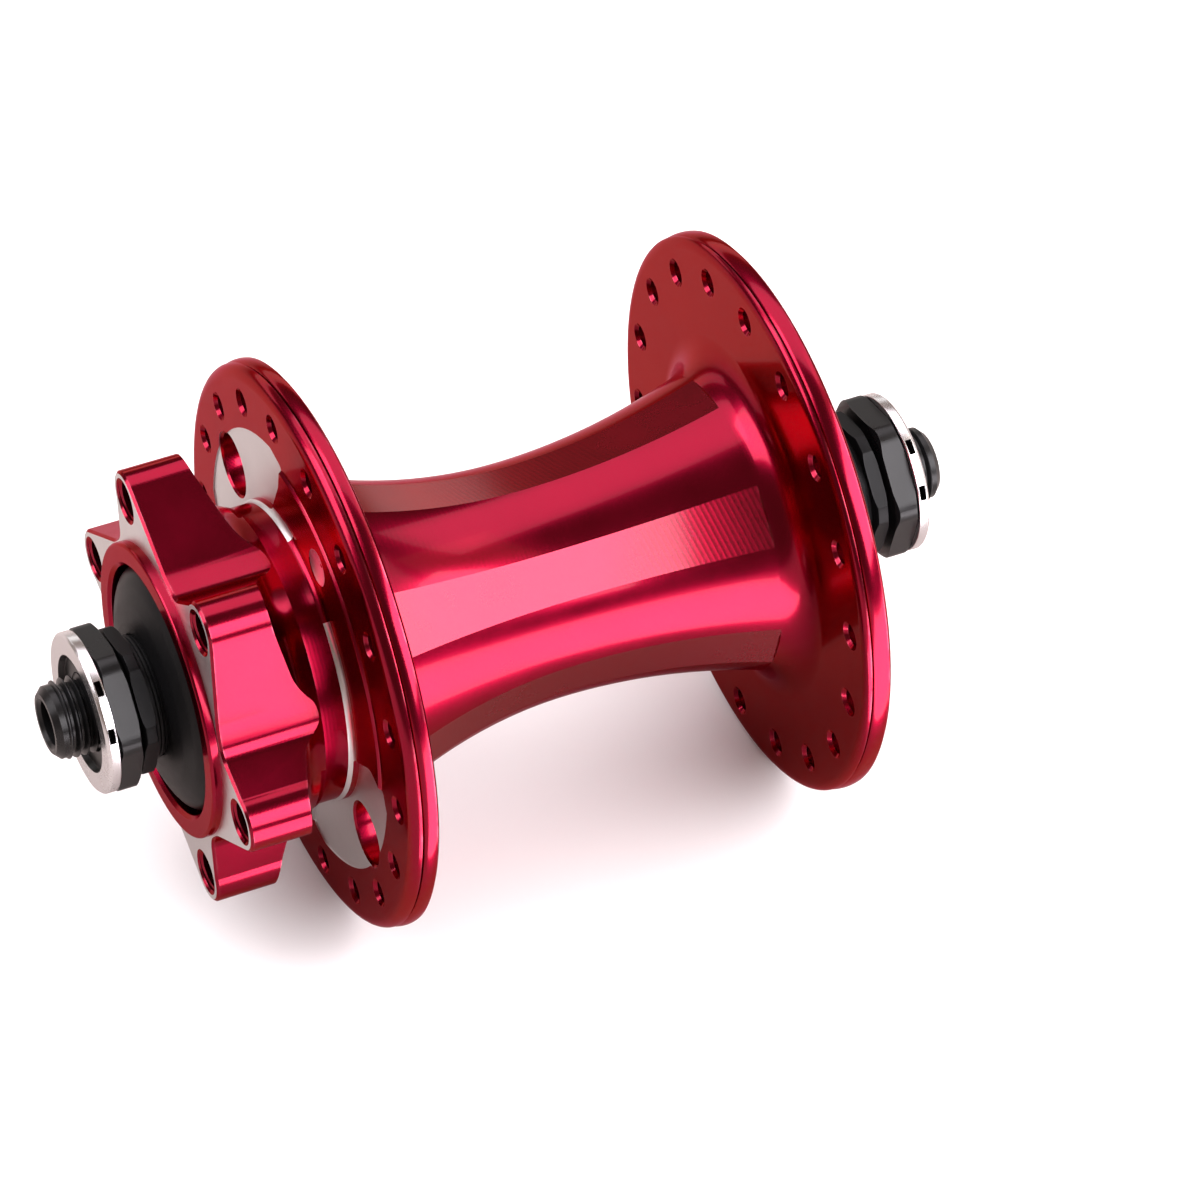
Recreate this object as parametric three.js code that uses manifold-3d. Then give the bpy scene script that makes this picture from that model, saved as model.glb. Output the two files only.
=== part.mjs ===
// Front hub for a bicycle wheel with a six-bolt brake rotor: shell, hollow quick-release axle and two
// sealed ball bearings, each piece a solid of its own. Millimetres. The axle lies along Y with the
// rotor mount towards -Y, +Z is up, and the origin is midway between the two locknut faces.
import * as THREE from 'three';
import { mergeVertices } from 'three/addons/utils/BufferGeometryUtils.js';
import Module from 'manifold-3d';

const wasm = await Module();
wasm.setup();

// ---- Driving dimensions -------------------------------------------------------------------------
const OLD = 100;                     // over the two locknut faces, the width of the fork
const AXLE_LENGTH = 108;             // a standard M9 quick-release axle
const THREAD_R = 4.5;
const AXLE_R = 5;                    // where the bearings sit
const SKEWER_R = 2.6;                // bore for the quick-release skewer
const GAP = 0.05;                    // between pieces that touch on the real hub

const FLANGE_R = 33;
const DISC_FLANGE = [26.05, 29.5];   // from the disc-side locknut face to the flange's two sides
const PLAIN_FLANGE = [80.6, 83.9];
const RIM_ROUND = [2.4, 1.6];        // how far it reaches in towards the axle, and along it
const SPOKES = 18;                   // a flange
const SPOKE_CIRCLE_R = 28.7;
const SPOKE_HOLE_R = 1.3;
const DISC_SPOKE_PHASE = 0.9;        // degrees from +X towards +Z
const PLAIN_SPOKE_PHASE = 10.6;

const WAIST = 54;                    // the thinnest part of the barrel
const WAIST_R = 13.75;
const DISC_FLARE = 0.0095;           // how fast the barrel grows on each side of the waist
const PLAIN_FLARE = 0.0066;
const FLATS = 6;                     // milled along the barrel
const FLAT_HALF_ANGLE = 12;
const FLAT_PHASE = 42.1;
const FLATS_END = 77.5;

const ROTOR_FACE = 10.2;
const LUGS = 6;
const LUG_PHASE = -2.8;
const BOLT_CIRCLE_R = 22;            // the 44 mm circle of every six-bolt rotor
const BOLT_HOLE_R = 2.2;
const BOLT_DEPTH = 7;
const LUG_TIP_R = 3.5;               // round the bolt
const VALLEY_R = 17.7;
const VALLEY_BEHIND = 38;            // degrees from a lug to the valley on its long side
const SPIGOT_R = 17.1;               // centres the rotor
const SPIGOT_FACE = 9;
const NECK_R = 17.2;
const BEAD_R = 21.6;                 // raised ring at the foot of the disc flange
const WINDOW_PHASES = [-32.8, 147.2]; // the two windows through the disc flange
const WINDOW_R = 3.6;
const WINDOW_CIRCLE_R = 22.4;
const CLEARED_R = [18, 25.6];        // the face milled clear round a window
const CLEARED_ANGLE = [-46, 30];

const BEARING = { bore: 5, outer: 13, width: 8, middle: 17, pitch: 9, ball: 2.381, balls: 7 };
const GROOVE_R = 2.46;               // of the ball tracks
const SHOULDER_IN = 7.4;
const SHOULDER_OUT = 10.6;
const SEAT_R = BEARING.outer + GAP;
const INNER_BORE_R = 10.9;
const CAP_BORE_R = 14.5;             // of the shell outside each bearing
const BOSS_R = 16.5;
const BOSS_END = 89;

const WASHER_R = 9.3;
const WASHER = [0, 1.4];             // depths in from the locknut face
const LOCKNUT = [1.45, 4.15];
const LOCKNUT_FLATS = 17;
const JAM = [4.7, 6.3];
const JAM_FLATS = 15.5;
const SPACER_R = 6.9;
const CAP_R = 14.1;
const HEX_PHASE = 12;

const ROUND = 48;                    // sides of the large round pieces
const SMALL = 36;                    // and of those round the axle

// ---- Colours and finishes -----------------------------------------------------------------------
const finish = (color, metalness, roughness) =>
  () => new THREE.MeshStandardMaterial({ color, metalness, roughness });
const redAnodised = finish(0x8e1b20, 0.85, 0.28);
const blackAnodised = finish(0x101012, 0.6, 0.35);
const blackOxide = finish(0x151516, 0.8, 0.42);
const steel = finish(0xc9cacc, 1.0, 0.25);
const chromeSteel = finish(0xdedfe2, 1.0, 0.12);
const sealRubber = finish(0x1a1a1b, 0.0, 0.6);
const nylon = finish(0x6d3f22, 0.0, 0.5);
const aluminium = finish(0xb4b5b8, 0.9, 0.4);

// ---- Helpers ------------------------------------------------------------------------------------
const at = (s) => s - OLD / 2;       // from the disc-side locknut face to Y
const rad = THREE.MathUtils.degToRad;
const V2 = (x, y) => new THREE.Vector2(x, y);
const polar = (r, degrees) => V2(r * Math.cos(rad(degrees)), r * Math.sin(rad(degrees)));

function outward(geometry) {
  const clean = geometry.index ? geometry.clone() : geometry;
  for (const key of Object.keys(clean.attributes)) if (key !== 'position') clean.deleteAttribute(key);
  const merged = mergeVertices(clean, 1e-4);
  const p = merged.attributes.position;
  const kept = [];
  let volume = 0;
  const a = new THREE.Vector3(), b = new THREE.Vector3(), c = new THREE.Vector3();
  for (let i = 0; i < merged.index.count; i += 3) {
    const [u, v, w] = [0, 1, 2].map((k) => merged.index.getX(i + k));
    if (u === v || v === w || w === u) continue;
    kept.push(u, v, w);
    a.fromBufferAttribute(p, u); b.fromBufferAttribute(p, v); c.fromBufferAttribute(p, w);
    volume += a.dot(b.cross(c));
  }
  if (volume < 0) kept.reverse();
  merged.setIndex(kept);
  return merged;
}

function solid(geometry) {
  const g = outward(geometry);
  return new wasm.Manifold(new wasm.Mesh({
    numProp: 3,
    vertProperties: new Float32Array(g.attributes.position.array),
    triVerts: new Uint32Array(g.index.array),
  }));
}

function geometryOf(manifold) {
  const m = manifold.getMesh();
  const g = new THREE.BufferGeometry();
  g.setAttribute('position', new THREE.BufferAttribute(new Float32Array(m.vertProperties), 3));
  g.setIndex(new THREE.BufferAttribute(new Uint32Array(m.triVerts), 1));
  g.computeVertexNormals();
  return g;
}

// Revolves [radius, y] pairs about the axle. The profile closes on itself or runs from axis to axis.
function turned(profile, sides = ROUND) {
  const points = profile.map(([r, y]) => V2(r, y));
  if (profile[0][0] > 0) points.push(points[0].clone());
  return outward(new THREE.LatheGeometry(points, sides));
}

function drum(r, y0, y1, sides = ROUND) {
  return turned([[0, y0], [r, y0], [r, y1], [0, y1]], sides);
}

function arc(cx, cy, r, from, to, steps) {
  return Array.from({ length: steps + 1 }, (_, i) => {
    const t = rad(from + (to - from) * i / steps);
    return [cx + r * Math.cos(t), cy + r * Math.sin(t)];
  });
}

// Extrudes an outline, given in X and Z, between two places along Y.
function slab(outline, y0, y1) {
  const g = new THREE.ExtrudeGeometry(new THREE.Shape(outline), { depth: y1 - y0, bevelEnabled: false });
  g.rotateX(Math.PI / 2);
  g.translate(0, y1, 0);
  return outward(g);
}

function drill(r, circle, degrees, y0, y1, sides = 12) {
  const c = polar(circle, degrees);
  const g = new THREE.CylinderGeometry(r, r, y1 - y0, sides);
  g.translate(c.x, (y0 + y1) / 2, c.y);
  return solid(g);
}

// ---- Hub shell ----------------------------------------------------------------------------------
const barrelR = (s) => WAIST_R + (s < WAIST ? DISC_FLARE : PLAIN_FLARE) * (s - WAIST) ** 2;

// The barrel's section is a circle with a flat at every sixth of a turn, all the way along.
function barrel() {
  const first = DISC_FLANGE[1] - 0.5;
  const stations = 11;
  const turnedSteps = 6;
  const sector = 360 / FLATS;
  const angles = [];
  for (let f = 0; f < FLATS; f++) {
    for (let i = 0; i <= turnedSteps; i++) {
      angles.push(FLAT_PHASE + f * sector + FLAT_HALF_ANGLE + (sector - 2 * FLAT_HALF_ANGLE) * i / turnedSteps);
    }
  }
  const n = angles.length;
  const positions = [];
  for (let j = 0; j <= stations; j++) {
    const s = first + (FLATS_END - first) * j / stations;
    for (const t of angles) {
      const p = polar(barrelR(s), t);
      positions.push(p.x, at(s), p.y);
    }
  }
  positions.push(0, at(first), 0, 0, at(FLATS_END), 0);
  const index = [];
  const [start, end] = [n * (stations + 1), n * (stations + 1) + 1];
  for (let i = 0; i < n; i++) {
    const k = (i + 1) % n;
    for (let j = 0; j < stations; j++) {
      const [a, b, c, d] = [j * n + i, j * n + k, (j + 1) * n + k, (j + 1) * n + i];
      index.push(a, b, c, a, c, d);
    }
    index.push(start, k, i, end, stations * n + i, stations * n + k);
  }
  const g = new THREE.BufferGeometry();
  g.setAttribute('position', new THREE.Float32BufferAttribute(positions, 3));
  g.setIndex(index);
  return solid(g);
}

// One lug leans: a long straight flank up to the round tip on one side, a short steep one on the other.
function lugOutline() {
  const points = [];
  for (let k = 0; k < LUGS; k++) {
    const lug = LUG_PHASE + k * 360 / LUGS;
    const tip = polar(BOLT_CIRCLE_R, lug);
    points.push(polar(VALLEY_R, lug - VALLEY_BEHIND + 3));
    points.push(polar(VALLEY_R + 0.9, lug - VALLEY_BEHIND + 12));
    for (const t of [-54, -30, -5, 20, 45, 70, 92]) {
      points.push(tip.clone().add(polar(LUG_TIP_R, lug + t)));
    }
    points.push(polar(VALLEY_R + 0.7, lug + 16));
    points.push(polar(VALLEY_R, lug + 19));
  }
  return points;
}

function rotorMount() {
  const back = [[26.5, 17.1], [23.9, 17.65], [20.7, 18.8], [19.3, 19.5], [18.3, 20.6], [NECK_R + 0.3, 22.2]];
  const envelope = [[0, at(ROTOR_FACE)], [26.5, at(ROTOR_FACE)], ...back.map(([r, s]) => [r, at(s)]),
    [0, at(22.2)]];
  const lugs = solid(slab(lugOutline(), at(ROTOR_FACE), at(23))).intersect(solid(turned(envelope)));
  return lugs.add(solid(drum(SPIGOT_R, at(SPIGOT_FACE), at(ROTOR_FACE + 1))));
}

// The rounded corner between a flange's disc-side face and its rim.
function rimCorner(face) {
  const [inwards, along] = RIM_ROUND;
  return arc(0, 0, 1, -90, 0, 4).map(([x, y]) => [FLANGE_R - inwards * (1 - x), at(face) + along * (1 + y)]);
}

// Neck behind the rotor mount, both flanges, and the boss outside the plain-side flange.
function turnedBody() {
  const [a0, a1] = DISC_FLANGE;
  const [b0, b1] = PLAIN_FLANGE;
  const disc = [[0, at(18)], [NECK_R, at(18)], [NECK_R, at(24.6)], [NECK_R + 0.5, at(25.1)],
    [BEAD_R - 1.6, at(a0 - 0.9)], [BEAD_R, at(a0)], ...rimCorner(a0),
    [FLANGE_R, at(a1 - 0.4)], [FLANGE_R - 0.4, at(a1)],
    ...arc(barrelR(a1 + 3) + 3, at(a1 + 3), 3, -90, -180, 3), [0, at(a1 + 3)]];
  const foot = barrelR(FLATS_END);
  const plain = [[0, at(FLATS_END)], [foot, at(FLATS_END)], ...arc(foot + 2.4, at(b0 - 2), 2, 180, 90, 3),
    ...rimCorner(b0), [FLANGE_R, at(b1 - 0.9)], [FLANGE_R - 0.7, at(b1)], ...arc(BOSS_R + 1.5, at(b1 + 1.5), 1.5, -90, -180, 2),
    [BOSS_R, at(BOSS_END - 0.5)], [BOSS_R - 0.5, at(BOSS_END)], [0, at(BOSS_END)]];
  return solid(turned(disc)).add(solid(turned(plain)));
}

// What the milling cutter takes off the foot of the disc flange round one window.
function clearedFace(window) {
  const [from, to] = CLEARED_ANGLE;
  const steps = 8;
  const outer = Array.from({ length: steps + 1 }, (_, i) => polar(CLEARED_R[1], window + from + (to - from) * i / steps));
  const inner = Array.from({ length: steps + 1 }, (_, i) => polar(CLEARED_R[0], window + to - (to - from) * i / steps));
  return solid(slab([...outer, ...inner], at(22.3), at(DISC_FLANGE[0] + 0.15)));
}

function bores() {
  const { middle, width } = BEARING;
  const [left, right] = [middle, OLD - middle].map(at);
  const half = width / 2 + GAP;
  return solid(drum(INNER_BORE_R, at(5), at(95)))
    .add(solid(drum(SEAT_R, left - half, left + half)))
    .add(solid(drum(SEAT_R, right - half, right + half)))
    .add(solid(drum(CAP_BORE_R, at(5), left - half + 0.01)))
    .add(solid(drum(CAP_BORE_R, right + half - 0.01, at(95))));
}

function hubShell() {
  let shell = turnedBody().add(barrel()).add(rotorMount());
  for (const w of WINDOW_PHASES) {
    shell = shell.subtract(clearedFace(w));
    shell = shell.subtract(drill(WINDOW_R, WINDOW_CIRCLE_R, w, at(20), at(DISC_FLANGE[1] + 1), 16));
  }
  for (let k = 0; k < LUGS; k++) {
    const bolt = drill(BOLT_HOLE_R, BOLT_CIRCLE_R, LUG_PHASE + k * 360 / LUGS, at(5), at(ROTOR_FACE + BOLT_DEPTH));
    shell = shell.subtract(bolt);
  }
  for (let k = 0; k < SPOKES; k++) {
    const turn = k * 360 / SPOKES;
    const [a, b] = [DISC_FLANGE, PLAIN_FLANGE];
    shell = shell.subtract(drill(SPOKE_HOLE_R, SPOKE_CIRCLE_R, DISC_SPOKE_PHASE + turn, at(a[0] - 2), at(a[1] + 2), 8));
    shell = shell.subtract(drill(SPOKE_HOLE_R, SPOKE_CIRCLE_R, PLAIN_SPOKE_PHASE + turn, at(b[0] - 2), at(b[1] + 2), 8));
  }
  return geometryOf(shell.subtract(bores()));
}

// ---- Axle and its hardware ----------------------------------------------------------------------
function axle() {
  const end = AXLE_LENGTH / 2;
  const thread = 45;
  const chamfer = 0.7;
  const half = [[SKEWER_R + 0.3, end], [THREAD_R - chamfer, end], [THREAD_R, end - chamfer], [THREAD_R, thread - 5.5],
    [AXLE_R, thread - 6]];
  const mirror = half.map(([r, y]) => [r, -y]).reverse();
  return turned([...half, ...mirror, [SKEWER_R, -end + 0.3], [SKEWER_R, end - 0.3]], SMALL);
}

function centerSpacer() {
  const half = OLD / 2 - BEARING.middle - BEARING.width / 2 - GAP;
  return turned([[AXLE_R + GAP, -half], [6.4, -half], [6.4, half], [AXLE_R + GAP, half]], SMALL);
}

// The pieces below are the same on both sides. Depths run in from that side's locknut face, and side
// is -1 for the disc side or 1 for the plain side.
const deep = (side, depth) => side * (OLD / 2 - depth);
const turnedAt = (side, profile, sides = SMALL) => turned(profile.map(([r, d]) => [r, deep(side, d)]), sides);

function washer(side) {
  const [d0, d1] = WASHER;
  return turnedAt(side, [[THREAD_R + GAP, d0], [WASHER_R - 0.35, d0], [WASHER_R, d0 + 0.35], [WASHER_R, d1],
    [THREAD_R + GAP, d1]]);
}

function hexagon(flats, side, d0, d1) {
  const corner = flats / 2 / Math.cos(Math.PI / 6);
  const outline = Array.from({ length: 6 }, (_, i) => polar(corner, HEX_PHASE + 60 * i));
  const [y0, y1] = [deep(side, d0), deep(side, d1)].sort((a, b) => a - b);
  return solid(slab(outline, y0, y1));
}

function locknut(side) {
  const [d0, d1] = LOCKNUT;
  const round = LOCKNUT_FLATS / 2 + 0.95;
  const blank = turnedAt(side, [[THREAD_R + GAP, d0], [round - 0.6, d0], [round, d0 + 0.5], [round, d1 - 0.5],
    [round - 0.6, d1], [THREAD_R + GAP, d1]]);
  return geometryOf(solid(blank).intersect(hexagon(LOCKNUT_FLATS, side, d0 - 1, d1 + 1)));
}

function axleSpacer(side) {
  const [d0, d1] = JAM;
  const round = JAM_FLATS / 2 + 0.65;
  const bore = AXLE_R + GAP;
  const sleeve = turnedAt(side, [[bore, LOCKNUT[1] + GAP], [7.1, LOCKNUT[1] + GAP], [7.1, d1 + 0.9],
    [SPACER_R, d1 + 1.1], [SPACER_R, BEARING.middle - BEARING.width / 2 - GAP],
    [bore, BEARING.middle - BEARING.width / 2 - GAP]]);
  const collar = turnedAt(side, [[bore, d0], [round - 0.4, d0], [round, d0 + 0.4], [round, d1 - 0.4],
    [round - 0.4, d1], [bore, d1]]);
  const jam = solid(collar).intersect(hexagon(JAM_FLATS, side, d0 - 1, d1 + 1));
  return geometryOf(solid(sleeve).add(jam));
}

function dustCap(side) {
  const bore = SPACER_R + GAP;
  return turnedAt(side, [[bore, 7.7], [8.3, 7.7], [10.5, 8.1], [12.6, 8.9], [13.7, 9.6], [CAP_R, 10.2], [CAP_R, 12.2],
    [12.9, 12.2], [12.9, 10.9], [11.6, 10.1], [8.2, 9.3], [bore, 9.3]]);
}

// ---- Bearings -----------------------------------------------------------------------------------
const track = (from, to) => arc(BEARING.pitch, 0, GROOVE_R, from, to, 4);
const shoulder = Math.acos((BEARING.pitch - SHOULDER_IN) / GROOVE_R) * 180 / Math.PI;
const middleOf = (side) => deep(side, BEARING.middle);

function innerRing(side) {
  const half = BEARING.width / 2;
  const bore = BEARING.bore + GAP;
  const ring = [[bore + 0.3, -half], [7.1, -half], [7.1, -half + 1.3], [SHOULDER_IN, -half + 1.6],
    ...track(180 + shoulder, 180 - shoulder), [SHOULDER_IN, half - 1.6], [7.1, half - 1.3], [7.1, half],
    [bore + 0.3, half], [bore, half - 0.3], [bore, -half + 0.3]];
  return turned(ring.map(([r, y]) => [r, y + middleOf(side)]), SMALL);
}

function outerRing(side) {
  const half = BEARING.width / 2;
  const out = BEARING.outer;
  const ring = [[out - 0.3, -half], [11.4, -half], [11.4, -half + 1.2], [SHOULDER_OUT, -half + 1.2],
    ...track(-shoulder, shoulder), [SHOULDER_OUT, half - 1.2], [11.4, half - 1.2], [11.4, half],
    [out - 0.3, half], [out, half - 0.3], [out, -half + 0.3]];
  return turned(ring.map(([r, y]) => [r, y + middleOf(side)]), SMALL);
}

function seal(side, face) {
  const outer = BEARING.width / 2 - 0.15;
  const [a, b] = [outer - 0.95, outer].map((y) => middleOf(side) + face * y);
  return turned([[7.32, a], [11.35, a], [11.35, b], [7.32, b]], SMALL);
}

const ballAngle = (i) => 90 + i * 360 / BEARING.balls;

function cage(side) {
  const y = middleOf(side);
  const half = 2.75;
  let ring = solid(turned([[8.2, y - half], [9.8, y - half], [9.8, y + half], [8.2, y + half]], 28));
  for (let i = 0; i < BEARING.balls; i++) {
    const pocket = new THREE.CylinderGeometry(2.52, 2.52, 6, 12);
    pocket.rotateZ(Math.PI / 2);
    pocket.translate(BEARING.pitch, 0, 0);
    pocket.rotateY(-rad(ballAngle(i)));
    pocket.translate(0, y, 0);
    ring = ring.subtract(solid(pocket));
  }
  return geometryOf(ring);
}

function ball(side, i) {
  const c = polar(BEARING.pitch, ballAngle(i));
  const g = new THREE.IcosahedronGeometry(BEARING.ball, 2);
  g.translate(c.x, middleOf(side), c.y);
  return outward(g);
}

// ---- Assembly -----------------------------------------------------------------------------------
const group = new THREE.Group();
group.name = 'front_hub';

function place(name, geometry, material) {
  const mesh = new THREE.Mesh(geometry, material());
  mesh.name = name;
  group.add(mesh);
}

place('hub_shell', hubShell(), redAnodised);
place('axle', axle(), blackOxide);
place('center_spacer', centerSpacer(), aluminium);
for (const [side, label] of [[-1, 'disc'], [1, 'plain']]) {
  place(`${label}_washer`, washer(side), steel);
  place(`${label}_locknut`, locknut(side), blackOxide);
  place(`${label}_axle_spacer`, axleSpacer(side), blackAnodised);
  place(`${label}_dust_cap`, dustCap(side), blackAnodised);
  place(`${label}_bearing_inner_ring`, innerRing(side), chromeSteel);
  place(`${label}_bearing_outer_ring`, outerRing(side), chromeSteel);
  place(`${label}_bearing_outboard_seal`, seal(side, side), sealRubber);
  place(`${label}_bearing_inboard_seal`, seal(side, -side), sealRubber);
  place(`${label}_bearing_cage`, cage(side), nylon);
  for (let i = 0; i < BEARING.balls; i++) {
    place(`${label}_bearing_ball_${i + 1}`, ball(side, i), chromeSteel);
  }
}

export default group;
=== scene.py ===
"""Front hub of a bicycle wheel: the finished surfaces of every piece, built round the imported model."""

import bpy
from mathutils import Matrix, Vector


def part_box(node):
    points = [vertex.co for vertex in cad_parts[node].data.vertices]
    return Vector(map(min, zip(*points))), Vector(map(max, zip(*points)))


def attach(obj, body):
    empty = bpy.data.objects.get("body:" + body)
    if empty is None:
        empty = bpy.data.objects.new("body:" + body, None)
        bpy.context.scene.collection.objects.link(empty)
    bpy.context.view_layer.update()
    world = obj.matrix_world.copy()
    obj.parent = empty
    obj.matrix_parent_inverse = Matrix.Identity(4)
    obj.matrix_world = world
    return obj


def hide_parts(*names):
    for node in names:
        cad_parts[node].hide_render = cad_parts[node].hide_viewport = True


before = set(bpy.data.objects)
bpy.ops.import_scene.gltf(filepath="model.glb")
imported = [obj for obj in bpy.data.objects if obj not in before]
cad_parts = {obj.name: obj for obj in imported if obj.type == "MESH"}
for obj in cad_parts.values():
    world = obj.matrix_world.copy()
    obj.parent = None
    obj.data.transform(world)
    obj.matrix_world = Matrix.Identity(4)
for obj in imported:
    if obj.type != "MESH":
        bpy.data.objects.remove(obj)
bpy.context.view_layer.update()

import math

import bmesh
import bpy
from bpy.props import FloatProperty, FloatVectorProperty, IntProperty, PointerProperty
from mathutils import Matrix, Vector

bl_info = {
    "name": "Front Hub",
    "version": (1, 0, 0),
    "blender": (4, 5, 0),
    "location": "3D View > Sidebar > Front Hub",
    "description": "Builds a six-bolt front hub with its axle, locknuts, dust caps and sealed bearings",
    "category": "Object",
}

# ---- Sizes from the frame ----------------------------------------------------------------------------
# Meshes are drawn in millimetres along the frame's own axes, with the axle along Y, and are then
# scaled to metres. A depth runs inwards from the locknut face of its own side, and a side is -1 for
# the rotor side or 1 for the plain side.
MM = 0.001
TINY = 1e-6


def span(node):
    """Lowest and highest corner of a CAD node, in millimetres."""
    return [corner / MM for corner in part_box(node)]


SIDES = {"disc": -1, "plain": 1}
SHELL_LOW, SHELL_HIGH = span("hub_shell")
FLANGE_R = SHELL_HIGH.x
SPIGOT_END, BOSS_END = SHELL_LOW.y, SHELL_HIGH.y
AXLE_END = span("axle")[1].y
AXLE_R = span("axle")[1].x
LOCKNUT_FACE = span("plain_washer")[1].y
WASHER_R = span("plain_washer")[1].x
BEARING_LOW, BEARING_HIGH = span("plain_bearing_outer_ring")
BEARING_R = BEARING_HIGH.x
BEARING_HALF = (BEARING_HIGH.y - BEARING_LOW.y) / 2
BEARING_MIDDLE = (BEARING_HIGH.y + BEARING_LOW.y) / 2
BALL_R = (span("plain_bearing_ball_1")[1].x - span("plain_bearing_ball_1")[0].x) / 2
GAP = 0.05

# ---- Fixed shape of the shell, in millimetres from the rotor-side locknut face ----------------------
DISC_FLANGE = (26.05, 29.5)
PLAIN_FLANGE = (80.6, 83.9)
WAIST = 54.0
DISC_FLARE, PLAIN_FLARE = 0.0095, 0.0066
FLATS_END = 77.5
ROTOR_FACE = 10.2
NECK_R = 17.2
SPIGOT_R = 17.1
WEB_R = 24.2
ROOT_ROUND = 0.8
ROOT_FACE = 25.65
CLEARED_FACE = 26.2
WINDOWS = (-32.8, 147.2)
WINDOW_CIRCLE_R = 22.4
CLEARED_R = 25.6
SCALLOPS = (67.5, 247.5)
SCALLOP_CIRCLE_R = 20.6
SCALLOP_R = 2.2
SCALLOP_DEPTH = 0.5
BARE_ROOT = 60.0
# middles of two short arcs of the root fillet that take the bare finish only because the key light reflects
# in them there: a painted highlight
BARE_HIGHLIGHT_ARCS = (39.5, 219.5)
BOSS_R = 16.5
INNER_BORE_R = 10.9
CAP_BORE_R = 14.5
LUG_ANGLES = [-2.8 + 60.0 * k for k in range(6)]
SPOKE_PHASES = (0.9, 10.6)               # degrees, rotor side and plain side
WASHER_SLOTS = (23.3, 57.5, 203.3, 237.5)

ROUND = 240          # sides of the shell
SMALL = 128          # sides of the pieces round the axle
ARC_STEP = 14.0      # degrees of a rounded corner for each face
NEARLY_STRAIGHT = 0.02   # radians, a corner that is left as it is


def at(s):
    """Y of a place given from the rotor-side locknut face."""
    return s - LOCKNUT_FACE


def deep(side, depth):
    """Y of a place given by its depth in from the locknut face of one side."""
    return side * (LOCKNUT_FACE - depth)


def polar(radius, degrees):
    """X and Z of a point at an angle from +X towards +Z."""
    turn = math.radians(degrees)
    return Vector((radius * math.cos(turn), radius * math.sin(turn)))


# ---- Outlines ------------------------------------------------------------------------------------------
def rounded(points):
    """Turns each corner of a closed outline that is given as (a, b, radius) into an arc."""
    path = []
    for i, point in enumerate(points):
        here = Vector(point[:2])
        to_last = Vector(points[i - 1][:2]) - here
        to_next = Vector(points[(i + 1) % len(points)][:2]) - here
        radius = point[2] if len(point) > 2 else 0.0
        if (radius <= 0 or min(to_last.length, to_next.length) < TINY
                or to_last.angle(to_next) > math.pi - NEARLY_STRAIGHT):
            path.append(here)
            continue
        corner = to_last.angle(to_next)
        reach = min(radius / math.tan(corner / 2), 0.49 * to_last.length, 0.49 * to_next.length)
        to_last.normalize()
        to_next.normalize()
        real = reach * math.tan(corner / 2)
        centre = here + (to_last + to_next).normalized() * (real / math.sin(corner / 2))
        first, last = here + to_last * reach - centre, here + to_next * reach - centre
        sweep = math.atan2(first.x * last.y - first.y * last.x, first.dot(last))
        steps = max(2, math.ceil(math.degrees(abs(sweep)) / ARC_STEP))
        path += [centre + Matrix.Rotation(sweep * k / steps, 2) @ first for k in range(steps + 1)]
    return path


def arc(centre, radius, start, end, steps):
    """Points on a circle from one angle in degrees to another."""
    return [Vector(centre) + polar(radius, start + (end - start) * k / steps) for k in range(steps + 1)]


def oval(centre, across, along, start, end, steps):
    """Points on an oval from one angle in degrees to another, with its own radius each way."""
    turns = [math.radians(start + (end - start) * k / steps) for k in range(steps + 1)]
    return [(centre[0] + across * math.cos(turn), centre[1] + along * math.sin(turn)) for turn in turns]


def flowing(points, steps):
    """A smooth curve that passes through the points."""
    known = [Vector(p) for p in points]
    known = [2 * known[0] - known[1], *known, 2 * known[-1] - known[-2]]
    path = []
    for a, b, c, d in zip(known, known[1:], known[2:], known[3:]):
        for k in range(steps):
            t = k / steps
            bend = (2 * a - 5 * b + 4 * c - d) + t * (3 * (b - c) + d - a)
            path.append(b + 0.5 * t * ((c - a) + t * bend))
    return path + [known[-2]]


def inset(outline, distance):
    """The outline moved inwards by a small distance."""
    area = sum(a.x * b.y - a.y * b.x for a, b in zip(outline, outline[1:] + outline[:1]))
    way = 1 if area > 0 else -1
    moved = []
    for i, here in enumerate(outline):
        a = (here - outline[i - 1]).normalized()
        b = (outline[(i + 1) % len(outline)] - here).normalized()
        along = (a + b).normalized()
        spread = max(0.4, along.dot(b))
        moved.append(here + Vector((-along.y, along.x)) * (way * distance / spread))
    return moved


# ---- Solids, each a pair of vertices and faces --------------------------------------------------------
def lathe(profile, sides=SMALL):
    """A solid turned about Y from (radius, y) points: a loop off the axis, or a line from axis to axis."""
    vertices, rings = [], []
    for radius, y in profile:
        start = len(vertices)
        if radius < TINY:
            vertices.append((0.0, y, 0.0))
            rings.append([start] * sides)
            continue
        for k in range(sides):
            p = polar(radius, 360.0 * k / sides)
            vertices.append((p.x, y, p.y))
        rings.append(list(range(start, start + sides)))
    closed = profile[0][0] > TINY
    pairs = list(zip(rings, rings[1:] + (rings[:1] if closed else [])))
    faces = []
    for low, high in pairs:
        for k in range(sides):
            n = (k + 1) % sides
            corners = dict.fromkeys((low[k], low[n], high[n], high[k]))
            if len(corners) > 2:
                faces.append(tuple(corners))
    return vertices, faces


def turned(points, sides=SMALL):
    """A ring turned from a closed outline of (radius, y, corner radius) points."""
    return lathe(rounded(points), sides)


def sided(side, points):
    """A ring turned from (radius, depth, corner radius) points on one side of the hub."""
    return turned([(radius, deep(side, depth), *corner) for radius, depth, *corner in points])


def band(low, high, count):
    """Faces between two rings of vertices that start at two places in a list."""
    return [(low + k, low + (k + 1) % count, high + (k + 1) % count, high + k) for k in range(count)]


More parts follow.
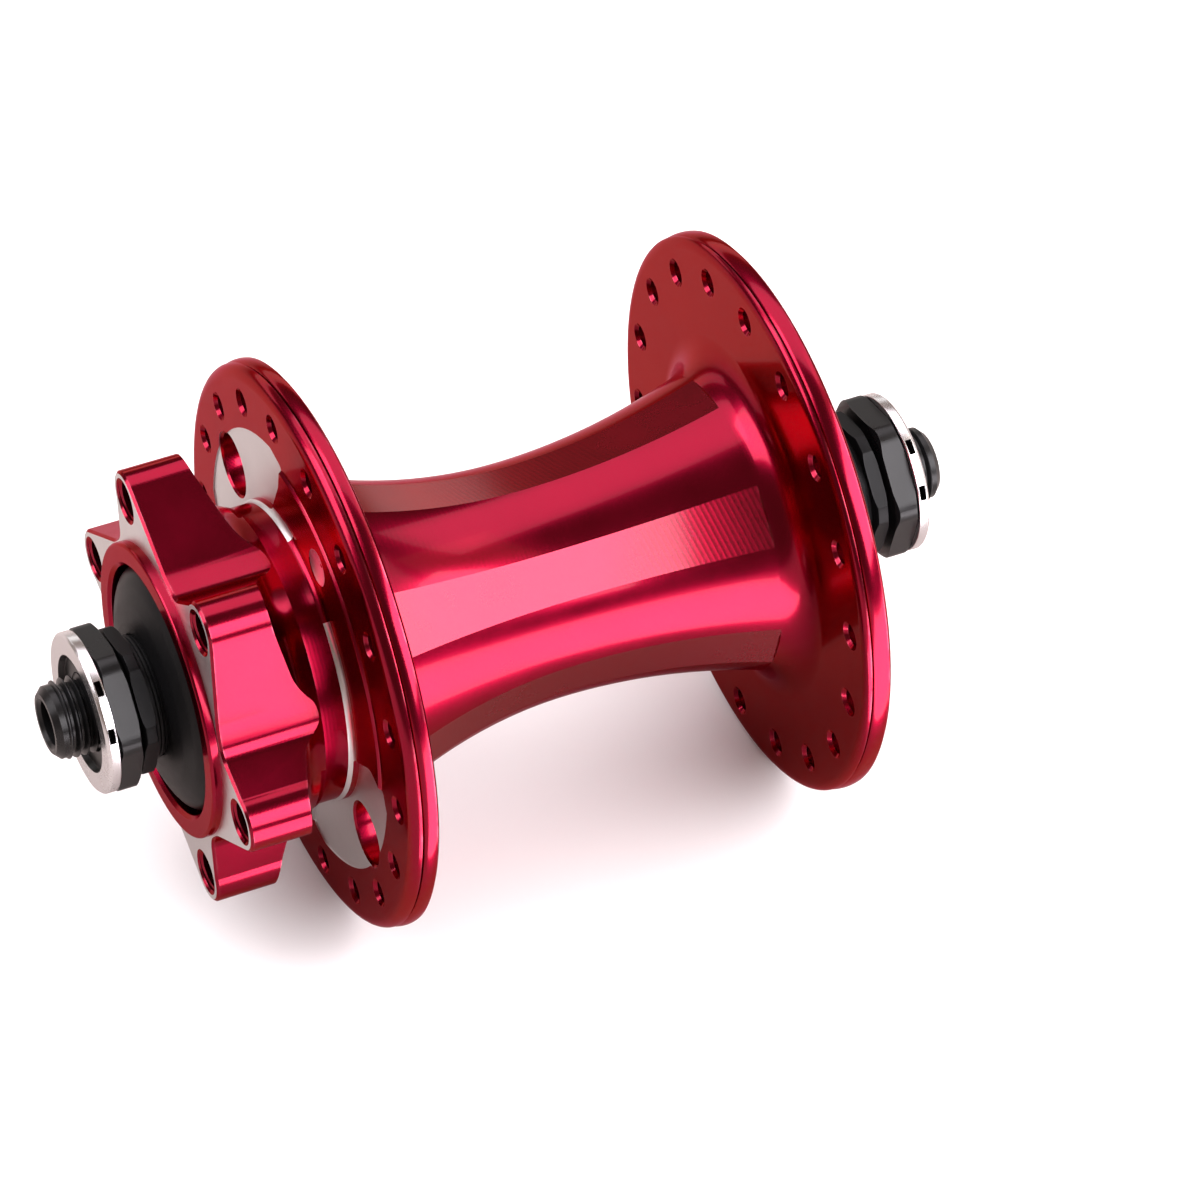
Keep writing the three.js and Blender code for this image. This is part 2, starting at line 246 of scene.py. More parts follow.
def prism(outline, start, end, front=0.0, back=0.0):
    """An outline in X and Z extruded along Y, with a chamfer at each end."""
    way = 1 if end > start else -1
    rings = [(inset(outline, front), start)] if front else []
    rings += [(outline, start + way * front), (outline, end - way * back)]
    rings += [(inset(outline, back), end)] if back else []
    n = len(outline)
    vertices = [(p.x, y, p.y) for ring, y in rings for p in ring]
    faces = [tuple(range(n)), tuple(range(n * (len(rings) - 1), n * len(rings)))]
    for r in range(len(rings) - 1):
        faces += band(r * n, (r + 1) * n, n)
    return vertices, faces


def moved(solid, x, z, y=0.0):
    """The solid carried across X and Z, and along Y."""
    return [(v[0] + x, v[1] + y, v[2] + z) for v in solid[0]], solid[1]


def together(*solids):
    """Separate solids as one list of vertices and faces."""
    vertices, faces = [], []
    for points, polygons in solids:
        start = len(vertices)
        vertices += [tuple(p) for p in points]
        faces += [tuple(start + i for i in polygon) for polygon in polygons]
    return vertices, faces


def drilled(profile, circle, angles, sides=24):
    """The same turned tool standing at several places on a circle."""
    tool = lathe(profile, sides)
    return together(*(moved(tool, *polar(circle, angle)) for angle in angles))


def thread(major, minor, pitch, start, end, sides=48):
    """A rod with a 60-degree screw thread, closed to a point beyond each end."""
    crest = [(1 / 8, minor), (7 / 16, major), (9 / 16, major), (7 / 8, minor)]
    rows = len(crest)
    length = rows * (math.ceil((end - start) / pitch) + 1)

    def point(column, row):
        share, radius = crest[row % rows]
        y = start + pitch * (row // rows + share + column / sides - 1)
        p = polar(radius, 360.0 * column / sides)
        return (p.x, y, p.y)

    heights = [length + rows] + [length] * (sides - 1)
    first = [sum(heights[:c]) for c in range(sides)]
    vertices = [point(c, r) for c in range(sides) for r in range(heights[c])]

    def index(column, row):
        return first[0] + row + rows if column == sides else first[column] + row

    faces = [(index(c, r), index(c + 1, r), index(c + 1, r + 1), index(c, r + 1))
             for c in range(sides) for r in range(length - 1)]
    for row, tip in ((0, start - 2 * pitch), (length - 1, end + 2 * pitch)):
        loop = [index(c, row) for c in range(sides)]
        loop += [index(0, row + k) for k in range(rows, 0, -1)]
        vertices.append((0.0, tip, 0.0))
        faces += [(a, b, len(vertices) - 1) for a, b in zip(loop, loop[1:] + loop[:1])]
    return vertices, faces


def draft(solid):
    """A mesh of the solid with its faces pointing outwards."""
    mesh = bpy.data.meshes.new("draft")
    mesh.from_pydata([tuple(v) for v in solid[0]], [], solid[1])
    work = bmesh.new()
    work.from_mesh(mesh)
    bmesh.ops.remove_doubles(work, verts=work.verts, dist=1e-5)
    bmesh.ops.recalc_face_normals(work, faces=work.faces)
    work.to_mesh(mesh)
    work.free()
    return mesh


def placed(name, data):
    """A new object in the scene that shows a mesh, a light or a camera."""
    made = bpy.data.objects.new(name, data)
    bpy.context.scene.collection.objects.link(made)
    return made


def shaped(solid, operation, tool):
    """The solid joined to a tool (UNION), cut by it (DIFFERENCE) or kept inside it (INTERSECT)."""
    objects = [placed("draft", draft(part)) for part in (solid, tool)]
    step = objects[0].modifiers.new("shape", "BOOLEAN")
    step.operation, step.solver, step.object = operation, "MANIFOLD", objects[1]
    ready = objects[0].evaluated_get(bpy.context.evaluated_depsgraph_get())
    mesh = ready.to_mesh()
    result = [tuple(v.co) for v in mesh.vertices], [tuple(p.vertices) for p in mesh.polygons]
    ready.to_mesh_clear()
    for made in objects:
        bpy.data.meshes.remove(made.data)
    if not result[1]:
        raise RuntimeError(f"{operation} left nothing of the solid")
    return result


def piece(node, body, solid, finishes, finish_of=None, crease=24.0):
    """Makes the object that stands for a CAD node, rides on its body and takes its finish from a slot."""
    mesh = draft(solid)
    mesh.name = node + "_mesh"
    mesh.transform(Matrix.Scale(MM, 4))
    for finish in finishes:
        mesh.materials.append(finish)
    if finish_of:
        for polygon in mesh.polygons:
            polygon.material_index = finish_of(polygon.center / MM, polygon.normal)
    mesh.shade_smooth()
    mesh.set_sharp_from_angle(angle=math.radians(crease))
    if finish_of:
        sharpen_borders(mesh)
    made = placed(node + "_finished", mesh)
    even = made.modifiers.new("even_shading", "WEIGHTED_NORMAL")
    even.keep_sharp = True
    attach(made, body)
    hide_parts(node)
    return made


def sharpen_borders(mesh):
    """Marks an edge sharp where two finishes meet."""
    work = bmesh.new()
    work.from_mesh(mesh)
    for edge in work.edges:
        if len({face.material_index for face in edge.link_faces}) > 1:
            edge.smooth = False
    work.to_mesh(mesh)
    work.free()


# ---- Node helpers --------------------------------------------------------------------------------------
def add(tree, kind, inputs=None, **settings):
    """Adds a node, sets its properties, then sets or links each of its inputs by name or number."""
    made = tree.nodes.new(kind)
    for key, value in settings.items():
        setattr(made, key, value)
    for key, value in (inputs or {}).items():
        if isinstance(value, bpy.types.NodeSocket):
            tree.links.new(value, made.inputs[key])
        else:
            made.inputs[key].default_value = value
    return made


def maths(tree, operation, *values):
    """The result of a Math node."""
    return add(tree, "ShaderNodeMath", dict(enumerate(values)), operation=operation).outputs[0]


def blend(tree, factor, first, second):
    """One colour mixed with another."""
    made = add(tree, "ShaderNodeMix", {0: factor, 6: first, 7: second}, data_type="RGBA")
    return made.outputs[2]


def group(name, numbers, outputs):
    """An empty shader node group that takes a vector and named numbers, and gives named numbers."""
    tree = bpy.data.node_groups.new(name, "ShaderNodeTree")
    tree.interface.new_socket("Vector", in_out="INPUT", socket_type="NodeSocketVector")
    for title, default in numbers.items():
        socket = tree.interface.new_socket(title, in_out="INPUT", socket_type="NodeSocketFloat")
        socket.default_value = default
    for title in outputs:
        tree.interface.new_socket(title, in_out="OUTPUT", socket_type="NodeSocketFloat")
    return tree, tree.nodes.new("NodeGroupInput").outputs, tree.nodes.new("NodeGroupOutput").inputs


def turning_marks():
    """Rings that a lathe tool leaves round the axle, on a cylinder and on a faced shoulder alike."""
    tree, given, result = group("Turning marks", {"Pitch": 0.0003}, ["Height"])
    place = add(tree, "ShaderNodeSeparateXYZ", {0: given["Vector"]}).outputs
    squares = [maths(tree, "MULTIPLY", place[axis], place[axis]) for axis in "XZ"]
    radius = maths(tree, "SQRT", maths(tree, "ADD", *squares))
    travel = maths(tree, "DIVIDE", maths(tree, "ADD", place["Y"], radius), given["Pitch"])
    wave = maths(tree, "SINE", maths(tree, "MULTIPLY", travel, math.tau))
    ridge = maths(tree, "MULTIPLY_ADD", wave, 0.25, 0.25)
    uneven = add(tree, "ShaderNodeTexNoise", {"W": travel, "Scale": 0.7, "Detail": 3.0},
                 noise_dimensions="1D")
    height = maths(tree, "MULTIPLY_ADD", uneven.outputs["Fac"], 0.5, ridge)
    tree.links.new(height, result["Height"])
    return tree


def milling_marks():
    """Scallops that a milling cutter leaves across a flat as it travels along the barrel."""
    tree, given, result = group("Milling marks", {"Pitch": 0.0006, "Lean": 0.25}, ["Height"])
    barrel_r = 0.0135
    place = add(tree, "ShaderNodeSeparateXYZ", {0: given["Vector"]}).outputs
    round_axle = maths(tree, "MULTIPLY", maths(tree, "ARCTAN2", place["Z"], place["X"]), barrel_r)
    travel = maths(tree, "MULTIPLY_ADD", round_axle, given["Lean"], place["Y"])
    passes = maths(tree, "DIVIDE", travel, given["Pitch"])
    wave = maths(tree, "SINE", maths(tree, "MULTIPLY", passes, math.pi))
    tree.links.new(maths(tree, "ABSOLUTE", wave), result["Height"])
    return tree


def fine_grain():
    """Fine pits and the larger cloudy patches of a handled metal surface."""
    tree, given, result = group("Fine grain", {"Scale": 4000.0, "Cloud scale": 90.0},
                                ["Grain", "Clouds"])
    grain = add(tree, "ShaderNodeTexNoise",
                {"Vector": given["Vector"], "Scale": given["Scale"], "Detail": 4.0})
    clouds = add(tree, "ShaderNodeTexNoise",
                 {"Vector": given["Vector"], "Scale": given["Cloud scale"], "Detail": 5.0, "Roughness": 0.6})
    spread = add(tree, "ShaderNodeMapRange", {0: clouds.outputs["Fac"], 1: 0.35, 2: 0.7})
    tree.links.new(grain.outputs["Fac"], result["Grain"])
    tree.links.new(spread.outputs[0], result["Clouds"])
    return tree


def edge_wear():
    """A mask of the worn edges: strong on a sharp edge, broken up along its length."""
    tree, given, result = group("Edge wear", {"Width": 0.0003, "Breakup": 400.0}, ["Mask"])
    soft = add(tree, "ShaderNodeBevel", {"Radius": given["Width"]}, samples=4)
    true = add(tree, "ShaderNodeNewGeometry")
    facing = add(tree, "ShaderNodeVectorMath", {0: soft.outputs[0], 1: true.outputs["Normal"]},
                 operation="DOT_PRODUCT")
    edge = add(tree, "ShaderNodeMapRange",
               {0: facing.outputs["Value"], 1: 0.995, 2: 0.9, 3: 0.0, 4: 1.0})
    broken = add(tree, "ShaderNodeTexNoise",
                 {"Vector": given["Vector"], "Scale": given["Breakup"], "Detail": 3.0})
    spread = add(tree, "ShaderNodeMapRange", {0: broken.outputs["Fac"], 1: 0.4, 2: 0.6})
    tree.links.new(maths(tree, "MULTIPLY", edge.outputs[0], spread.outputs[0]), result["Mask"])
    return tree


GROUPS = {"Turning marks": turning_marks, "Milling marks": milling_marks,
          "Fine grain": fine_grain, "Edge wear": edge_wear}


def effect(tree, name, vector, **inputs):
    """Places one of the shared node groups in a material, with its own values."""
    shared = bpy.data.node_groups.get(name) or GROUPS[name]()
    made = tree.nodes.new("ShaderNodeGroup")
    made.node_tree = shared
    tree.links.new(vector, made.inputs["Vector"])
    for key, value in inputs.items():
        made.inputs[key].default_value = value
    return made.outputs


def surface(name):
    """A new material, its node tree and the inputs of its shader."""
    made = bpy.data.materials.new(name)
    made.use_nodes = True
    shader = next(n for n in made.node_tree.nodes if n.type == "BSDF_PRINCIPLED")
    return made, made.node_tree, shader.inputs


def finish(name, colour, worn, metallic, roughness, coat=0.0, coat_roughness=0.1,
           marks="Turning marks", pitch=0.0003, depth=1.5e-6, wear=0.35, varied=0.08,
           grain_depth=0.4e-6, specular=0.5, edge=(1.0, 1.0, 1.0)):
    """A metal, lacquer, rubber or nylon surface with tool marks, grain, cloudy roughness and worn edges."""
    ready = bpy.data.materials.get(name)
    if ready:
        return ready
    made, tree, shader = surface(name)
    place = add(tree, "ShaderNodeTexCoord").outputs["Object"]
    grain = effect(tree, "Fine grain", place)
    rubbed = effect(tree, "Edge wear", place)["Mask"]
    tone = blend(tree, maths(tree, "MULTIPLY", grain["Clouds"], 0.25), (*colour, 1.0),
                 (*[c * 0.8 for c in colour], 1.0))
    tone = blend(tree, maths(tree, "MULTIPLY", rubbed, wear), tone, (*worn, 1.0))
    tree.links.new(tone, shader["Base Color"])
    rough = maths(tree, "MULTIPLY_ADD", grain["Clouds"], varied, roughness)
    rough = maths(tree, "MULTIPLY_ADD", grain["Grain"], varied * 0.5, rough)
    tree.links.new(rough, shader["Roughness"])
    shader["Metallic"].default_value = metallic
    shader["Specular IOR Level"].default_value = specular
    shader["Specular Tint"].default_value = (*edge, 1.0)
    shader["Coat Weight"].default_value = coat
    shader["Coat Roughness"].default_value = coat_roughness
    height = effect(tree, marks, place, Pitch=pitch)["Height"]
    tooled = add(tree, "ShaderNodeBump", {"Height": height, "Distance": depth, "Strength": 1.0})
    pitted = add(tree, "ShaderNodeBump", {"Height": grain["Grain"], "Distance": grain_depth,
                                          "Strength": 1.0, "Normal": tooled.outputs[0]})
    tree.links.new(pitted.outputs[0], shader["Normal"])
    return made


# ---- Settings ------------------------------------------------------------------------------------------
def length(name, description, default):
    """A length property whose default is given in millimetres."""
    return FloatProperty(name=name, description=description, default=default * MM, min=0.0,
                         precision=5, subtype="DISTANCE", unit="LENGTH")


def turn(name, description, degrees):
    """An angle property whose default is given in degrees."""
    return FloatProperty(name=name, description=description, default=math.radians(degrees),
                         subtype="ANGLE", unit="ROTATION")


def number(name, description, default, least, most):
    """A property that counts pieces."""
    return IntProperty(name=name, description=description, default=default, min=least, max=most)


def radiance(name, description, default):
    """A light's brightness."""
    return FloatProperty(name=name, description=description, default=default, min=0.0)


def colour(name, description, default):
    """A colour property."""
    return FloatVectorProperty(name=name, description=description, default=default, size=3,
                               min=0.0, max=1.0, subtype="COLOR")


class ShellSettings(bpy.types.PropertyGroup):
    """Sizes and colours of the hub shell."""

    waist_radius: length("Waist radius", "Radius of the barrel where it is thinnest", 13.75)
    flats: number("Flats", "Flats milled along the barrel", 6, 3, 12)
    flat_half_angle: turn("Flat half angle", "Half the angle that one flat takes up", 12.0)
    flat_phase: turn("Flat phase", "Where the first flat looks, from +X towards +Z", 42.1)
    spokes: number("Spoke holes", "Spoke holes in each flange", 18, 8, 24)
    spoke_circle: length("Spoke circle radius", "Radius of the circle of spoke holes", 28.7)
    spoke_hole: length("Spoke hole radius", "Radius of a spoke hole", 1.3)
    bolt_circle: length("Bolt circle radius", "Radius of the circle of rotor bolts", 22.0)
    window_radius: length("Window radius", "Radius of a lightening hole in the disc-side flange", 3.7)
    dye: colour("Dye", "Colour of the anodised surfaces", (0.28, 0.003, 0.024))
    dye_worn: colour("Worn dye", "Colour of the anodised edges where they are worn", (0.62, 0.16, 0.22))
    bare: colour("Bare metal", "Colour of the machined faces", (0.74, 0.73, 0.74))


class HardwareSettings(bpy.types.PropertyGroup):
    """Sizes and colours of the axle and what is screwed on it."""

    thread_radius: length("Thread radius", "Outside radius of the axle thread", 4.5)
    thread_pitch: length("Thread pitch", "Pitch of the axle thread", 1.0)
    skewer_radius: length("Skewer bore radius", "Radius of the bore for the quick-release skewer", 2.6)
    locknut_flats: length("Locknut size", "Width across the flats of a locknut", 17.0)
    collar_flats: length("Collar size", "Width across the flats of a spacer's collar", 15.5)
    # this black is also the painted shade in the washers' recesses and slots
    black: colour("Black oxide", "Colour of the axle and locknuts", (0.006, 0.006, 0.0065))
    cap: colour("Black anodising", "Colour of the dust caps and axle spacers", (0.004, 0.004, 0.0045))
    steel: colour("Steel", "Colour of the washers", (0.80, 0.80, 0.82))


class BearingSettings(bpy.types.PropertyGroup):
    """Sizes and colours of the two sealed bearings."""

    pitch_radius: length("Pitch radius", "Radius of the circle of balls", 9.0)
    balls: number("Balls", "Balls in each bearing", 7, 5, 9)
    chrome: colour("Chrome steel", "Colour of the rings and balls", (0.83, 0.83, 0.85))
    rubber: colour("Rubber", "Colour of the seals", (0.014, 0.014, 0.015))
    nylon: colour("Nylon", "Colour of the ball cages", (0.32, 0.13, 0.05))


class StageSettings(bpy.types.PropertyGroup):
    """Light and floor."""

    key: radiance("Key light", "Radiance of the large soft box", 7.2)
    overhead: radiance("Overhead light", "Radiance of the overhead panel", 2.0)
    rotor_side: radiance("Rotor-side light", "Radiance of the panel over the rotor side", 5.0)
    card: radiance("Reflector card", "Radiance of the low card in front", 6.0)
    floor: colour("Floor", "Colour of the floor", (0.93, 0.93, 0.93))


class FrontHubSettings(bpy.types.PropertyGroup):
    """Everything that a user would change."""

    shell: PointerProperty(type=ShellSettings)
    hardware: PointerProperty(type=HardwareSettings)
    bearing: PointerProperty(type=BearingSettings)
    stage: PointerProperty(type=StageSettings)


def settings(context):
    """This scene's settings."""
    return context.scene.front_hub


# ---- Finishes ------------------------------------------------------------------------------------------
def red_turned(shell):
    """Dyed and polished aluminium as it comes off the lathe."""
    return finish("red_anodised_turned", shell.dye, shell.dye_worn, 1.0, 0.17, coat=0.22, coat_roughness=0.08,
                  pitch=0.00045, depth=2.4e-6, grain_depth=0.12e-6, edge=(0.95, 0.22, 0.34))


def red_milled(shell):
    """Dyed aluminium with the scallops of the cutter on it."""
    return finish("red_anodised_milled", shell.dye, shell.dye_worn, 1.0, 0.2, coat=0.6, coat_roughness=0.12,
                  marks="Milling marks", pitch=0.0006, depth=5e-6, grain_depth=0.12e-6,
                  edge=(0.95, 0.22, 0.34))


def bare_machined(shell):
    """Aluminium that was faced after the dye."""
    return finish("bare_machined_aluminium", shell.bare, (0.9, 0.9, 0.9), 1.0, 0.3, pitch=0.00025, depth=2e-6,
                  wear=0.3, varied=0.1)


def black_oxide_and_washer_shade(hardware):
    """Blackened steel, also used as painted shade in the washers' recesses and slots."""
    return finish("black_oxide_steel_and_washer_shade", hardware.black, (0.05, 0.05, 0.05), 0.0, 0.25, wear=0.4, specular=0.3)


def black_anodised(hardware):
    """Black satin aluminium."""
    return finish("black_anodised_aluminium", hardware.cap, (0.04, 0.04, 0.04), 0.0, 0.38,
                  wear=0.3, specular=0.15)


def bright_steel(hardware):
    """Plated steel washers."""
    return finish("bright_plated_steel", hardware.steel, (0.9, 0.9, 0.9), 1.0, 0.2, wear=0.3, pitch=0.0002,
                  depth=1.5e-6)


def chrome_steel(bearing):
    """Ground and polished bearing steel."""
    return finish("chrome_bearing_steel", bearing.chrome, (0.9, 0.9, 0.9), 1.0, 0.06, wear=0.2, varied=0.04,
                  pitch=0.0002, depth=0.4e-6, grain_depth=0.1e-6)


def seal_rubber(bearing):
    """Moulded nitrile rubber."""
    return finish("moulded_seal_rubber", bearing.rubber, (0.04, 0.04, 0.04), 0.0, 0.45, wear=0.3, varied=0.12,
                  pitch=0.0004, depth=1e-6, grain_depth=2e-6)


def cage_nylon(bearing):
    """Moulded brown nylon."""
    return finish("moulded_brown_nylon", bearing.nylon, (0.45, 0.25, 0.12), 0.0, 0.4, wear=0.3, varied=0.12,
                  pitch=0.0005, depth=1e-6, grain_depth=2e-6)


# ---- Hub shell -----------------------------------------------------------------------------------------
def barrel_radius(s, waist):
    """Radius of the turned barrel at a place along the hub."""
    return waist + (DISC_FLARE if s < WAIST else PLAIN_FLARE) * (s - WAIST) ** 2


def barrel(shell):
    """The hourglass barrel, whose section is a circle with flats, all the way along."""
    first, stations, arcs = DISC_FLANGE[1] - 0.6, 96, 24
    sector, half = 360.0 / shell.flats, math.degrees(shell.flat_half_angle)
    angles = []
    for flat in range(shell.flats):
        start = math.degrees(shell.flat_phase) + flat * sector + half
        angles += [start + (sector - 2 * half) * k / arcs for k in range(arcs + 1)]
    vertices, faces, n = [], [], len(angles)
    for j in range(stations + 1):
        s = first + (FLATS_END - first) * j / stations
        for angle in angles:
            p = polar(barrel_radius(s, shell.waist_radius / MM), angle)
            vertices.append((p.x, at(s), p.y))
    for j in range(stations):
        faces += band(j * n, (j + 1) * n, n)
    faces += [tuple(range(n)), tuple(range(stations * n, (stations + 1) * n))]
    return vertices, faces


def rim(face, back, groove, shoulder):
    """Outer edge of a flange: a rounded shoulder, a fine groove and a crowned band."""
    r = FLANGE_R
    edge, valley = r - 0.2, r - 0.6
    path = oval((edge - shoulder, face + groove), shoulder, groove, -90, 0, 8)
    path += [(valley, face + groove + 0.04), (valley, face + groove + 0.18)]
    crown = (back + face + groove) / 2 + 0.1
    path += oval((r - 0.5, crown), 0.5, crown - face - groove - 0.22, -80, 35, 10)
    path += oval((r - 1.1, back - 0.85), 0.95, 0.85, 20, 90, 6)
    return [(radius, at(y)) for radius, y in path]


def turned_shell(shell):
    """All that the lathe makes: spigot, neck, web, both flanges and the boss of the plain side."""
    a0, a1 = DISC_FLANGE
    b0, b1 = PLAIN_FLANGE
    waist = shell.waist_radius / MM
    spigot = [(0.0, SPIGOT_END), (SPIGOT_R, SPIGOT_END, 0.35), (SPIGOT_R, at(12.0))]
    neck = [(NECK_R, at(12.5)), (NECK_R, at(ROOT_FACE - ROOT_ROUND)),
            *oval((NECK_R + ROOT_ROUND, at(ROOT_FACE - ROOT_ROUND)), ROOT_ROUND, ROOT_ROUND, 170, 90, 7),
            (NECK_R + ROOT_ROUND + 0.05, at(ROOT_FACE - 0.1)), (WEB_R - 0.3, at(ROOT_FACE + 0.1), 0.2),
            (WEB_R, at(a0))]
    foot = barrel_radius(a1 + 3, waist)
    disc_back = arc((foot + 3, at(a1 + 3)), 3.0, -90, -180, 10) + [Vector((0.0, at(a1 + 3)))]
    disc = rounded(spigot + neck + rim(a0, a1, 1.2, 1.5) + disc_back)
    foot = barrel_radius(FLATS_END, waist)
    lean = math.atan(2 * PLAIN_FLARE * (FLATS_END - WAIST))
    fillet = (b0 - FLATS_END) / (1 - math.sin(lean))
    middle = (foot + fillet * math.cos(lean), at(b0) - fillet)
    plain_front = [(0.0, at(FLATS_END)), *oval(middle, fillet, fillet, 180 - math.degrees(lean), 90, 12)]
    plain_back = [(BOSS_R, at(b1), 1.3), (BOSS_R, BOSS_END, 0.5), (0.0, BOSS_END)]
    plain = rounded(plain_front + rim(b0, b1, 0.7, 1.3) + plain_back)
    return [lathe([tuple(p)[:2] for p in profile], ROUND) for profile in (disc, plain)]


def lug_outline(shell):
    """Outline of the six lugs, each with a long flank on one side and a short steep one on the other."""
    points = []
    for lug in LUG_ANGLES:
        bolt = polar(shell.bolt_circle / MM, lug)
        points.append((*polar(17.75, lug - 32.2), 6.0))
        points += [tuple(bolt + polar(3.5, lug + t)) for t in range(-54, 93, 6)]
        points.append((*polar(17.7, lug + 17.7), 2.5))
    return rounded(points)


def rotor_mount(shell):
    """The six lugs that carry the brake rotor, with their backs turned to a curve."""
    back = [(26.5, 17.1), (23.9, 17.65), (20.7, 18.8), (19.3, 19.5), (18.3, 20.6), (17.5, 22.2)]
    envelope = [(0.0, at(9.0)), (26.5, at(9.0)), *((r, at(s)) for r, s in flowing(back, 6)), (0.0, at(22.2))]
    lugs = prism(lug_outline(shell), at(ROTOR_FACE), at(23.0), front=0.3)
    return shaped(lugs, "INTERSECT", lathe(envelope, ROUND))


def cleared_face(window):
    """What the cutter takes off the web round one window, with a slanted end each way."""
    points = [tuple(p) for p in arc((0, 0), CLEARED_R, window - 43, window + 26, 26)]
    points += [(*polar(24.6, window + 31), 0.6), (*polar(21.8, window + 34.5), 1.5),
               (*polar(NECK_R + 0.3, window + 27), 0.5)]
    points += [tuple(p) for p in arc((0, 0), NECK_R + 0.3, window + 24, window - 38, 30)]
    points += [(*polar(NECK_R + 0.4, window - 40), 0.5), (*polar(21.8, window - 48.5), 1.5),
               (*polar(24.6, window - 50), 0.6)]
    return prism(rounded(points), at(21.5), at(CLEARED_FACE))


def scallops():
    """Two shallow round dishes in the web, between the windows."""
    ball = SCALLOP_R ** 2 / 2 / SCALLOP_DEPTH
    profile = oval((0.0, at(ROOT_FACE) + SCALLOP_DEPTH - ball), ball, ball, 55, 90, 12)
    closed = [(0.0, profile[0][1]), *profile[:-1], (0.0, profile[-1][1])]
    return drilled(closed, SCALLOP_CIRCLE_R, SCALLOPS, sides=48)


def bores():
    """Bore, bearing seats and the recesses for the dust caps."""
    seat, half = BEARING_R + GAP, BEARING_HALF + GAP
    near, far = BEARING_MIDDLE - half, BEARING_MIDDLE + half
    seats = [(CAP_BORE_R, -far), (seat, -far), (seat, -near), (INNER_BORE_R, -near),
             (INNER_BORE_R, near), (seat, near), (seat, far), (CAP_BORE_R, far)]
    mouth = [(0.0, SPIGOT_END - 2), (CAP_BORE_R + 2.4, SPIGOT_END - 2), (CAP_BORE_R, SPIGOT_END + 0.4)]
    end = [(CAP_BORE_R, BOSS_END - 0.3), (CAP_BORE_R + 2.3, BOSS_END + 2), (0.0, BOSS_END + 2)]
    return lathe(mouth + seats + end, ROUND)


def spoke_tools(shell):
    """Drills for every spoke hole, countersunk on both faces."""
    tools = []
    hole = shell.spoke_hole / MM
    for (front, back), phase in zip((DISC_FLANGE, PLAIN_FLANGE), SPOKE_PHASES):
        profile = [(0.0, at(front - 0.5)), (hole + 0.9, at(front - 0.5)), (hole, at(front + 0.4)),
                   (hole, at(back - 0.4)), (hole + 0.9, at(back + 0.5)), (0.0, at(back + 0.5))]
        angles = [phase + 360.0 * k / shell.spokes for k in range(shell.spokes)]
        tools.append(drilled(profile, shell.spoke_circle / MM, angles))
    return together(*tools)


def bolt_tools(shell):
    """Taps and countersinks for the six rotor bolts."""
    face = at(ROTOR_FACE)
    tap = thread(2.5, 2.12, 0.8, face + 0.2, face + 7.0, sides=24)
    taps = together(*(moved(tap, *polar(shell.bolt_circle / MM, angle)) for angle in LUG_ANGLES))
    sink = [(0.0, face - 0.6), (3.3, face - 0.6), (2.2, face + 0.5), (2.2, face + 7.4), (0.0, face + 8.6)]
    return taps, drilled(sink, shell.bolt_circle / MM, LUG_ANGLES, sides=32)


def window_tools(shell):
    """Drills for the two windows in the disc-side flange."""
    r = shell.window_radius / MM
    front, back = CLEARED_FACE, DISC_FLANGE[1]
    profile = [(0.0, at(21.0)), (r + 0.25, at(21.0)), (r + 0.25, at(front)), (r, at(front + 0.25)),
               (r, at(back - 0.25)), (r + 0.75, at(back + 0.5)), (r + 0.75, at(back + 2.2)),
               (0.0, at(back + 2.2))]
    return drilled(profile, WINDOW_CIRCLE_R, WINDOWS, sides=64)


def apart(first, second):
    """The angle between two directions, in degrees."""
    return abs((first - second + 180) % 360 - 180)


def shell_finish(shell):
    """A function that says which of the shell's finishes a face has."""
    phase, sector = math.degrees(shell.flat_phase), 360.0 / shell.flats
    half = math.degrees(shell.flat_half_angle)
    turned_red, milled_red, bare_metal = 0, 1, 2

    def choose(centre, normal):
        s, radius = centre.y + LOCKNUT_FACE, math.hypot(centre.x, centre.z)
        angle = math.degrees(math.atan2(centre.z, centre.x))
        near_window = min(apart(angle, window) for window in WINDOWS)
        if normal.y < -0.99 and min(abs(s - face) for face in (ROTOR_FACE, CLEARED_FACE)) < 0.02:
            return bare_metal
        at_root = abs(s - ROOT_FACE + ROOT_ROUND / 2) < ROOT_ROUND / 2
        if NECK_R + 0.01 < radius < NECK_R + ROOT_ROUND + 0.03 and at_root:
            # the root fillet is bare near the windows, where the cutter ran; on two short arcs further round
            # the bare finish is a painted highlight where the key light reflects
            near_highlight_arc = min(apart(angle, middle) for middle in BARE_HIGHLIGHT_ARCS)
            return bare_metal if near_window < BARE_ROOT or near_highlight_arc < 12 else turned_red
        if ROOT_FACE - 0.1 < s < CLEARED_FACE and radius > NECK_R + 1.2:
            here = Vector((centre.x, centre.z))
            dished = min((polar(SCALLOP_CIRCLE_R, middle) - here).length for middle in SCALLOPS)
            if dished < SCALLOP_R - 0.02 and normal.y > -0.999:
                return bare_metal
            if abs(normal.y) < 0.1 and near_window < 55:
                return bare_metal
        on_flat = abs((angle - phase + sector / 2) % sector - sector / 2) < half
        on_barrel = DISC_FLANGE[1] + 0.1 < s < FLATS_END + 0.001 and radius > 13
        return milled_red if on_barrel and on_flat and abs(normal.y) < 0.6 else turned_red

    return choose


